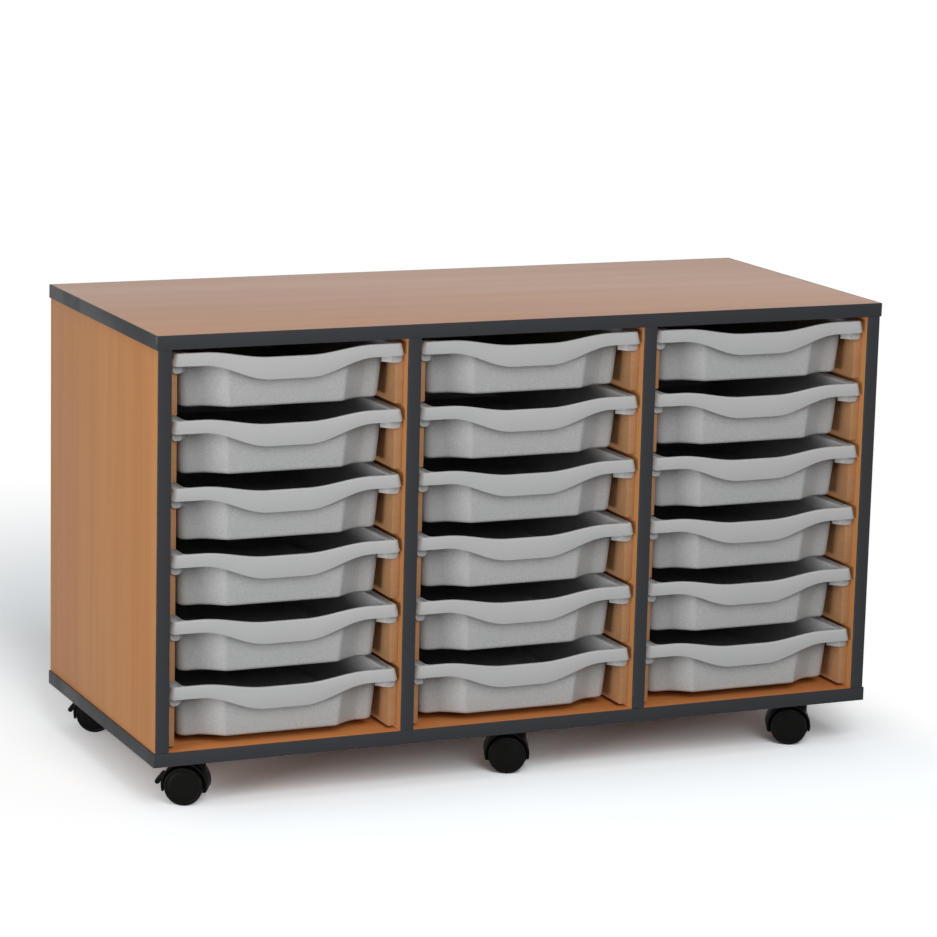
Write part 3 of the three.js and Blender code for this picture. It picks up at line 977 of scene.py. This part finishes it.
def runner_finish():
    """Bare beech-coloured board: open, speckled and a little uneven in tone."""
    material, tree, shader, place = new_finish("runner_board")
    figure = use_group(
        tree,
        BEECH_FIGURE,
        {
            "Vector": place,
            "Pale": colour(172, 128, 88),
            "Deep": colour(158, 114, 75),
            "Fleck": colour(150, 104, 64),
            "Fleck Share": 0.2,
        },
    )
    speckle = use_group(tree, SPECKLE, {"Vector": place, "Grain Scale": 420.0, "Drift Scale": 20.0})
    dusted = mix_colours(
        tree, combine(tree, "MULTIPLY", speckle["Grain"], 0.35), figure["Color"], colour(142, 100, 64)
    )
    tree.links.new(dusted, shader.inputs["Base Color"])
    tree.links.new(ramp_between(tree, speckle["Drift"], 0, 1, 0.68, 0.8), shader.inputs["Roughness"])
    bump(tree, shader, speckle["Grain"], 0.15, 0.0002)
    return material


def tray_finish():
    """Light grey moulded plastic: smooth on the fascia and rim, finely sparked on the bowl."""
    material, tree, shader, place = new_finish("grey_tray_plastic")
    speckle = use_group(tree, SPECKLE, {"Vector": place, "Grain Scale": 480.0, "Drift Scale": 7.0})
    textured = attribute(tree, "textured")
    sparked = combine(tree, "MULTIPLY", speckle["Grain"], textured)
    plain = mix_colours(tree, speckle["Drift"], colour(179, 180, 180), colour(183, 183, 183))
    flecked = mix_colours(tree, combine(tree, "MULTIPLY", sparked, 0.5), plain, colour(152, 153, 153))
    tree.links.new(flecked, shader.inputs["Base Color"])
    tree.links.new(ramp_between(tree, textured, 0, 1, 0.42, 0.6), shader.inputs["Roughness"])
    bump(tree, shader, sparked, 0.3, 0.0002)
    shader.inputs["Specular IOR Level"].default_value = 0.25
    return material


def castor_finish():
    """Satin black plastic with a faint mould texture and dusty, rubbed edges."""
    material, tree, shader, place = new_finish("black_castor_plastic")
    speckle = use_group(tree, SPECKLE, {"Vector": place, "Grain Scale": 900.0, "Drift Scale": 8.0})
    wear = worn_edges(tree, place, 150.0)
    drifted = mix_colours(tree, speckle["Drift"], colour(16, 16, 15), colour(18, 18, 17))
    rubbed = mix_colours(tree, combine(tree, "MULTIPLY", wear, 0.25), drifted, colour(60, 59, 57))
    tree.links.new(rubbed, shader.inputs["Base Color"])
    tree.links.new(ramp_between(tree, speckle["Drift"], 0, 1, 0.38, 0.4), shader.inputs["Roughness"])
    bump(tree, shader, speckle["Grain"], 0.03, 0.0001)
    shader.inputs["Specular IOR Level"].default_value = 0.04
    return material


def steel_finish():
    """Bright zinc-plated steel, a little cloudy."""
    material, tree, shader, place = new_finish("zinc_plate")
    speckle = use_group(tree, SPECKLE, {"Vector": place, "Grain Scale": 500.0, "Drift Scale": 80.0})
    cloudy = mix_colours(tree, speckle["Drift"], colour(150, 152, 155), colour(178, 180, 182))
    tree.links.new(cloudy, shader.inputs["Base Color"])
    tree.links.new(ramp_between(tree, speckle["Grain"], 0, 1, 0.3, 0.42), shader.inputs["Roughness"])
    shader.inputs["Metallic"].default_value = 1
    return material


ALONG_X = (0, 0, 0)
ALONG_Z = (0, math.pi / 2, 0)
# The top's beech is written paler and greyer than the uprights' beech, though both are one laminate:
# painted sheen and light that stand in for how light falls on the top.
top_beech_painted_sheen = beech_finish(
    "top_beech_painted_sheen", ALONG_X, colour(180, 138, 111), colour(176, 133, 106), colour(154, 112, 86), 0.42, 0.25
)
upright_beech = beech_finish(
    "upright_beech", ALONG_Z, colour(190, 134, 84), colour(179, 122, 74), colour(148, 96, 56), 0.5, 0.12
)
base_beech = beech_finish(
    "base_beech", ALONG_X, colour(190, 122, 70), colour(176, 108, 58), colour(142, 86, 46), 0.5, 0.12
)
charcoal_edging = edging_finish()
runner_board = runner_finish()
grey_tray_plastic = tray_finish()
black_castor_plastic = castor_finish()
zinc_plate = steel_finish()


# Putting the unit together

def dress_carcass():
    boards = [
        ("top_board", "top_panel", top_beech_painted_sheen),
        ("base_board", "base_panel", base_beech),
        ("back_board", "back_panel", upright_beech),
        ("left_side_board", "left_side_panel", upright_beech),
        ("right_side_board", "right_side_panel", upright_beech),
        ("left_divider_board", "left_divider", upright_beech),
        ("right_divider_board", "right_divider", upright_beech),
    ]
    for name, node, finish in boards:
        hand_over(board(name, node), node, "carcass", finish)
    for end in ("top", "base"):
        band = edge_band(f"{end}_edge_band", f"{end}_edging", f"{end}_panel")
        hand_over(band, f"{end}_edging", "carcass", charcoal_edging)
    for upright in ("left_side", "left_divider", "right_divider", "right_side"):
        strip = edge_strip(f"{upright}_edge_strip", f"{upright}_edging")
        hand_over(strip, f"{upright}_edging", "carcass", charcoal_edging)
    for bay in BAYS:
        for side in ("left", "right"):
            node = f"{bay}_bay_{side}_runner"
            strips = runner_strips(f"{bay}_bay_{side}_strips", node)
            hand_over(strips, node, "carcass", runner_board)


def dress_trays():
    model = model_tray()
    for bay in BAYS:
        for row in ROWS:
            node = f"{bay}_tray_{row}"
            low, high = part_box(node)
            place = Matrix.Translation(((low.x + high.x) / 2, low.y, high.z))
            tray = placed_copy(model, f"{node}_moulding", place)
            hand_over(tray, node, node, grey_tray_plastic)
    bpy.data.objects.remove(model)


def dress_castors():
    models = {
        "plate": model_plate(),
        "hood": model_hood(False),
        "braked_hood": model_hood(True),
        "wheels": model_wheels(),
        "lever": model_lever(),
    }
    for name in CASTORS:
        swivel = Vector(joints[f"{name}_swivel"]["pos_m"])
        braked = name in BRAKED_CASTORS
        plate_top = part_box(f"{name}_castor_plate")[1].z
        at_plate = Matrix.Translation((swivel.x, swivel.y, plate_top))
        plate = placed_copy(models["plate"], f"{name}_plate_and_screws", at_plate)
        hand_over(plate, f"{name}_castor_plate", "carcass", zinc_plate)
        at_axle = Matrix.Translation(joints[f"{name}_wheel_spin"]["pos_m"]) @ castor_turn(name)
        hood = placed_copy(models["braked_hood" if braked else "hood"], f"{name}_hood", at_axle)
        hand_over(hood, f"{name}_castor_hood", f"{name}_castor", black_castor_plastic)
        wheels = placed_copy(models["wheels"], f"{name}_twin_wheels", at_axle)
        hand_over(wheels, f"{name}_castor_wheels", f"{name}_wheels", black_castor_plastic)
        if braked:
            lever = placed_copy(models["lever"], f"{name}_brake_paddle", at_axle)
            hand_over(lever, f"{name}_brake_lever", f"{name}_brake", black_castor_plastic)
    for model in models.values():
        bpy.data.objects.remove(model)


# Stage: floor, light and camera

FLOOR_SIZE = 40
FLOOR_WHITE = (1.34, 1.4, 1.44, 1)
FLOOR_BOUNCE = (0.28, 0.28, 0.28, 1)
FLOOR_FADE = (0.9, 1.9)
# Where the floor is mixed to white beside the unit's left and right ends: painted light over the unit's
# shadow there.
LEFT_PAINTED_LIGHT = (-0.60, -0.36, 0.72, 0.0)
RIGHT_PAINTED_LIGHT = (0.53, 0.68)
SKY_LIGHT = 0.3
LENS = 137.4
SENSOR = 36
CAMERA_PLACE = (-1.9302, -4.3253, 1.3311)
CAMERA_RIGHT = Vector((0.9142, -0.4045, 0.0246))
CAMERA_DOWN = Vector((-0.0583, -0.1914, -0.9798))
CAMERA_AHEAD = Vector((0.4010, 0.8943, -0.1986))
LAMPS = (
    ("key_lamp", (-0.5, -4.75, 3.75), (0, 0, 0.3), (2.6, 4.4), 190),
    ("top_lamp", (0, -0.3, 3.0), (0, 0, 0.5), (2.0, 2.0), 10),
    ("left_lamp", (-3.7, -1.7, 0.3), (-0.4, 0, 0.25), (1.4, 0.6), 72),
)


def shown_to_camera(tree):
    """One for what the camera sees, straight or in gloss and glass."""
    path = tree.nodes.new("ShaderNodeLightPath").outputs
    shown = combine(tree, "MAXIMUM", path["Is Camera Ray"], path["Is Glossy Ray"])
    return combine(tree, "MAXIMUM", shown, path["Is Transmission Ray"])


def lay_floor():
    """A white floor that keeps the unit's shadow, and is plain white further out. Beside the unit's left
    and right ends the floor is mixed towards white, a painted light that lightens the shadow there.
    """
    start_fresh()
    bpy.ops.mesh.primitive_plane_add(size=FLOOR_SIZE)
    floor = settle("floor")
    material = bpy.data.materials.new("white_floor")
    material.use_nodes = True
    tree = material.node_tree
    tree.nodes.remove(tree.nodes["Principled BSDF"])
    shown = shown_to_camera(tree)
    level = mix_colours(tree, shown, FLOOR_BOUNCE, FLOOR_WHITE)
    paint = add_node(tree, "ShaderNodeBsdfDiffuse", {"Color": level})
    white = add_node(tree, "ShaderNodeEmission", {"Color": (1, 1, 1, 1), "Strength": 1.0})
    place = tree.nodes.new("ShaderNodeTexCoord").outputs["Object"]
    distance = add_node(tree, "ShaderNodeVectorMath", {0: place}, operation="LENGTH").outputs["Value"]
    across = add_node(tree, "ShaderNodeSeparateXYZ", {"Vector": place}).outputs["X"]
    # Painted light: the shadow just beside the unit's left and right ends is mixed towards white.
    beside = combine(
        tree, "MAXIMUM", ramp_between(tree, across, *LEFT_PAINTED_LIGHT), ramp_between(tree, across, *RIGHT_PAINTED_LIGHT)
    )
    faded = combine(tree, "MAXIMUM", ramp_between(tree, distance, *FLOOR_FADE), beside)
    far_white_and_painted_light = combine(tree, "MULTIPLY", faded, shown)
    mixed = add_node(tree, "ShaderNodeMixShader", {0: far_white_and_painted_light, 1: paint.outputs[0], 2: white.outputs[0]})
    tree.links.new(mixed.outputs[0], tree.nodes["Material Output"].inputs["Surface"])
    floor.data.materials.append(material)


def light_world():
    world = bpy.data.worlds.new("white_studio")
    world.use_nodes = True
    bpy.context.scene.world = world
    tree = world.node_tree
    strength = ramp_between(tree, shown_to_camera(tree), 0, 1, SKY_LIGHT, 1.0)
    sky = tree.nodes["Background"]
    sky.inputs["Color"].default_value = (1, 1, 1, 1)
    tree.links.new(strength, sky.inputs["Strength"])


def soft_lamp(name, place, aim, size, power):
    lamp = bpy.data.lights.new(name, "AREA")
    lamp.shape = "RECTANGLE"
    lamp.size, lamp.size_y = size
    lamp.energy = power
    holder = bpy.data.objects.new(name, lamp)
    bpy.context.scene.collection.objects.link(holder)
    holder.location = place
    holder.rotation_euler = (Vector(aim) - Vector(place)).to_track_quat("-Z", "Y").to_euler()


def set_camera():
    lens = bpy.data.cameras.new("camera")
    lens.lens = LENS
    lens.sensor_width = SENSOR
    holder = bpy.data.objects.new("camera", lens)
    bpy.context.scene.collection.objects.link(holder)
    axes = Matrix((CAMERA_RIGHT, -CAMERA_DOWN, -CAMERA_AHEAD)).transposed()
    holder.matrix_world = Matrix.Translation(CAMERA_PLACE) @ axes.to_4x4()
    bpy.context.scene.camera = holder


dress_carcass()
dress_trays()
dress_castors()
lay_floor()
light_world()
for lamp in LAMPS:
    soft_lamp(*lamp)
set_camera()
bpy.context.scene.view_settings.view_transform = "Standard"
